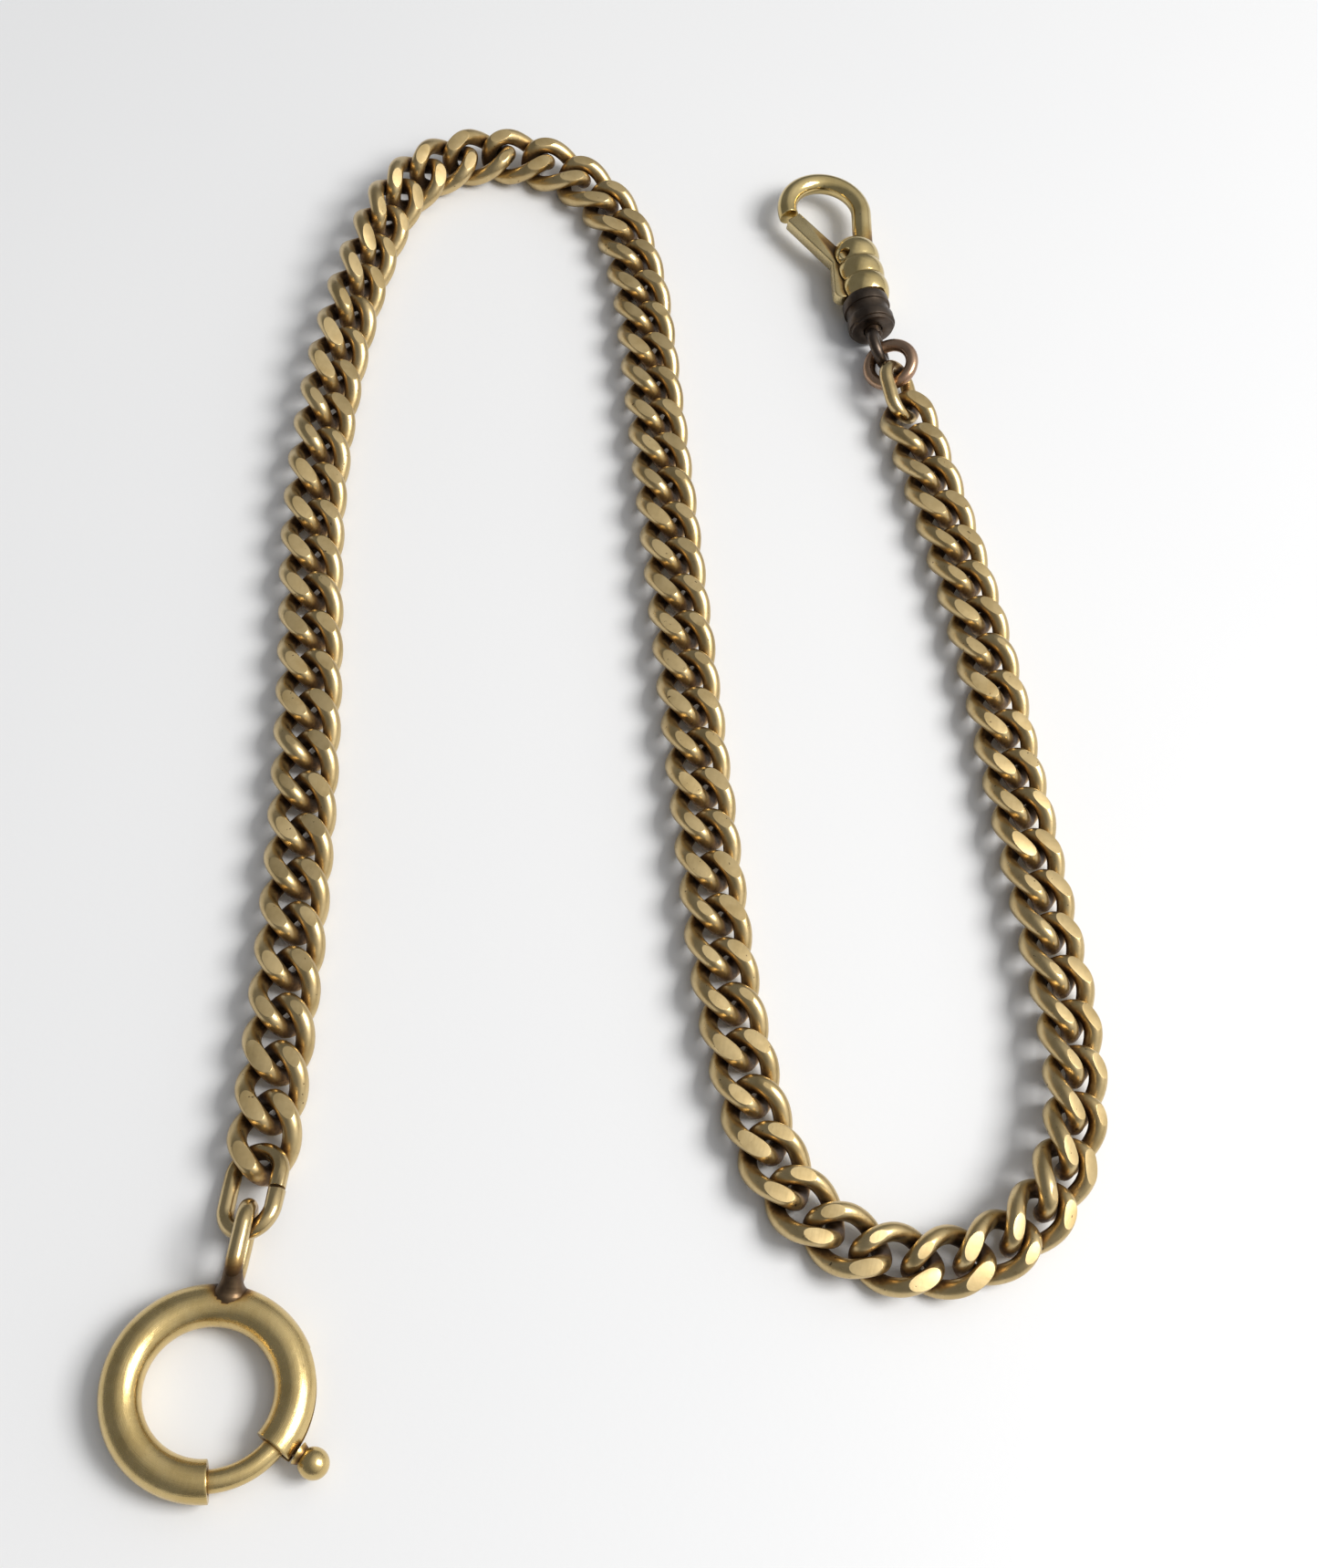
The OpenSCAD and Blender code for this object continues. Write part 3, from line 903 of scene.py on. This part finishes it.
def add_hook():
    hook = wire_profile(BOW_R, HOOK_D, 32)
    first, last = arc(hook, BOW_FROM, BOW_TO, 96)
    grown = bmesh.ops.extrude_edge_only(hook, edges=first)["geom"]
    back = -spin_place(BOW_FROM).col[1]
    bmesh.ops.translate(hook, vec=SHANK_L * back, verts=only(bmesh.types.BMVert, grown))
    closed_ends(hook, [only(bmesh.types.BMEdge, grown), last], roundness=0.4, segments=5)
    piece("hook_bow", hook, "swivel", swivel_gold, "hook",
          swivel @ Matrix.Translation(BOW_AT))


add_body()
add_hook()

# ---- Gate, its pin and its spring
# The gate is a flat bar that turns on a pin through the body. Its tail lies along the body as a lever
# for the thumb, and a leaf spring under it keeps its tip against the hook's end.
GATE_W = 1.5
GATE_TIP = Vector((15.45, 4.47, 0))
GATE_TAIL = Vector((6.4, 1.9, 0))
PIVOT_PLAY = 0.1
PIN_L = 2.7
LEAF_AT = 0.6
LEAF_L = 3
LEAF_T = 0.2
INNER_FILLET = 0.35
TAIL_STEPS = 12
HUB_STEPS = 8
gate_gold = metal("gate_gold", (0.64, 0.52, 0.28), (0.56, 0.44, 0.22), BROWN, polish=0.28, satin=0.36,
                  shade_and_stain_range=(0.2, 0.75), specks=0.35)


def arc_points(middle, radius, start, sweep, steps, points):
    """So many points of an arc that is cut into so many steps."""
    turns = (start + sweep * step / steps for step in range(points))
    return [middle + radius * Vector((math.cos(turn), math.sin(turn), 0)) for turn in turns]


def gate_outline():
    """From the pin along one side to the tip, back to the inner corner, round the tail, and round the hub."""
    half = GATE_W / 2
    up, down = GATE_TIP - PIVOT, GATE_TAIL - PIVOT
    side = Vector((-up.y, up.x, 0)).normalized() * half
    tail_side = Vector((-down.y, down.x, 0)).normalized() * half
    corner = (PIVOT + side + PIVOT - tail_side) / 2
    outline = [PIVOT - side, GATE_TIP - side, GATE_TIP + side,
               corner + (side - tail_side).normalized() * half * INNER_FILLET]
    tail = math.atan2(-tail_side.y, -tail_side.x)
    outline += arc_points(GATE_TAIL, half, tail, math.pi, TAIL_STEPS, TAIL_STEPS + 1)
    hub = math.atan2(tail_side.y, tail_side.x)
    to_hub = (math.atan2(-side.y, -side.x) - hub) % (2 * math.pi)
    return outline + arc_points(PIVOT, half, hub, to_hub, HUB_STEPS, HUB_STEPS)


def add_gate():
    gate = bmesh.new()
    under = gate.faces.new([gate.verts.new(corner - Vector((0, 0, GATE_T / 2))) for corner in gate_outline()])
    grown = bmesh.ops.extrude_face_region(gate, geom=[under])["geom"]
    bmesh.ops.translate(gate, vec=(0, 0, GATE_T), verts=only(bmesh.types.BMVert, grown))
    bmesh.ops.recalc_face_normals(gate, faces=gate.faces)
    bore = add_rod(bmesh.new(), PIVOT_D + PIVOT_PLAY, 3 * GATE_T, Matrix.Translation(PIVOT))
    gate = softened(cut(gate, bore), width=0.12, segments=3, angle=1.2)
    piece("gate_lever", gate, "gate", gate_gold, "gate", swivel, sharp=50)


def add_pin_and_leaf():
    pin = add_rod(bmesh.new(), PIVOT_D, PIN_L, swivel @ Matrix.Translation(PIVOT), 40)
    softened(pin, width=0.12, segments=3, angle=1.2)
    piece("pivot_pin", pin, "swivel", gate_gold, "gate_pin")
    leaf = add_block(bmesh.new(), (LEAF_L, LEAF_T, GATE_T),
                     swivel @ moved(BARREL_TO + LEAF_AT + LEAF_L / 2, SLOT_FLOOR + LEAF_T / 2))
    piece("leaf_spring", softened(leaf, width=0.04), "swivel", spring_steel, "gate_spring")


add_gate()
add_pin_and_leaf()

# ---- Painted shade and tarnish on the hardware
# Shade is painted in wherever one piece of metal hides another, along with the tarnish that the polishing
# cloth misses there. It is worked out once every piece is in its place, and the tube and its eye are also
# dark from the torch.
SCORCH_AHEAD = Vector((0.5, 0, 0.5))
SCORCH_REACH = 1.9
SCORCH = 0.62


def scorch(shape):
    """The torch that soldered the eye darkened the metal round its foot."""
    layer = shape.verts.layers.float["grime"]
    foot = turned((EYE_HEADING, "Z")) @ (FOOT_AT + SCORCH_AHEAD) * MM
    for vertex in shape.verts:
        away = (vertex.co - foot).length / (SCORCH_REACH * MM)
        vertex[layer] += SCORCH * math.exp(-away * away)


def paint_hardware_shade_and_tarnish():
    """Paints shade and tarnish on all but the curb links. Only the first and last of those are near enough to
    hide anything.
    """
    everything = bmesh.new()
    for made in pieces:
        if not made.name.startswith("link_") or made.name in ("link_01", f"link_{len(places):02d}"):
            everything.from_mesh(made.data)
    tree = BVHTree.FromBMesh(everything)
    everything.free()
    for made in pieces:
        if made.name.startswith("link_"):
            continue
        shape = bmesh.new()
        shape.from_mesh(made.data)
        bake_shade_and_tarnish(shape, tree, unit=MM, rays=14)
        if made.name in ("case_tube", "upright_eye"):
            scorch(shape)
        shape.to_mesh(made.data)
        shape.free()


paint_hardware_shade_and_tarnish()

# ---- Table and light
# A sheet of smooth white board, under one large soft light high on the right. The room is bright behind
# and on the right, and dark over the near left side, where the person who looks at the chain stands.
BOARD_SIZE = 4
BOARD_TONES = (0.80, 0.81, 0.83, 1), (0.85, 0.855, 0.865, 1)
BOARD_ROUGHNESS = 0.5
BOARD_CLOUDS = {"scale": 14, "detail": 2, "roughness": 0.5}
BOARD_GRAIN = {"scale": 1800, "detail": 3, "roughness": 0.6}
BOARD_BUMP = {"Strength": 0.12, "Distance": 0.00005}
KEY_AT = (0.36, 0.08, 0.40)
KEY_AIM = (0.02, 0.05, 0)
KEY_SIZE = 0.24
KEY_WATTS = 2.4
KEY_COLOUR = (1.0, 0.985, 0.96)
WINDOW_WAY = (0.70, 0.16, 0.70)
ROOM_DARK = (0.20, 0.205, 0.215)
ROOM_BRIGHT = (0.86, 0.855, 0.84)
ROOM_CLOUDS = {"scale": 2.2, "detail": 2, "roughness": 0.5}


def add_table():
    board = bmesh.new()
    bmesh.ops.create_grid(board, x_segments=1, y_segments=1, size=BOARD_SIZE,
                          matrix=Matrix.Translation((0, 0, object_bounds()[0][2])))
    mesh = bpy.data.meshes.new("table")
    board.to_mesh(mesh)
    board.free()
    table = bpy.data.objects.new("table", mesh)
    bpy.context.scene.collection.objects.link(table)
    material = bpy.data.materials.new("white_board")
    material.use_nodes = True
    wire = Wire(material.node_tree)
    shader = material.node_tree.nodes["Principled BSDF"]
    point = wire.node("ShaderNodeTexCoord", {}, {}, output=3)
    cloud = wire.noise(point, **BOARD_CLOUDS)
    grain = wire.noise(point, **BOARD_GRAIN)
    tone = wire.blend(cloud, *BOARD_TONES)
    material.node_tree.links.new(tone.socket, shader.inputs["Base Color"])
    shader.inputs["Roughness"].default_value = BOARD_ROUGHNESS
    bump = wire.node("ShaderNodeBump", {}, {**BOARD_BUMP, "Height": grain})
    material.node_tree.links.new(bump.socket, shader.inputs["Normal"])
    mesh.materials.append(material)


def add_light():
    light = bpy.data.lights.new("key", "AREA")
    light.shape = "RECTANGLE"
    light.size = light.size_y = KEY_SIZE
    light.energy = KEY_WATTS
    light.color = KEY_COLOUR
    lamp = bpy.data.objects.new("key", light)
    lamp.location = KEY_AT
    lamp.rotation_mode = "QUATERNION"
    lamp.rotation_quaternion = (Vector(KEY_AT) - Vector(KEY_AIM)).to_track_quat("Z", "Y")
    bpy.context.scene.collection.objects.link(lamp)


def add_room():
    world = bpy.data.worlds.new("room")
    world.use_nodes = True
    wire = Wire(world.node_tree)
    way = wire.node("ShaderNodeTexCoord", {}, {}, output=0)
    near = wire.node("ShaderNodeVectorMath", {"operation": "DOT_PRODUCT"}, {0: way, 1: WINDOW_WAY}, output=1)
    cloud = wire.noise(way, **ROOM_CLOUDS)
    light = (near + (cloud - 0.5) * 0.5).between(0.25, 1.0)
    colour = wire.blend(light, (*ROOM_DARK, 1), (*ROOM_BRIGHT, 1))
    background = world.node_tree.nodes["Background"]
    world.node_tree.links.new(colour.socket, background.inputs["Color"])
    bpy.context.scene.world = world


add_table()
add_light()
add_room()
bpy.context.scene.view_settings.view_transform = "Standard"
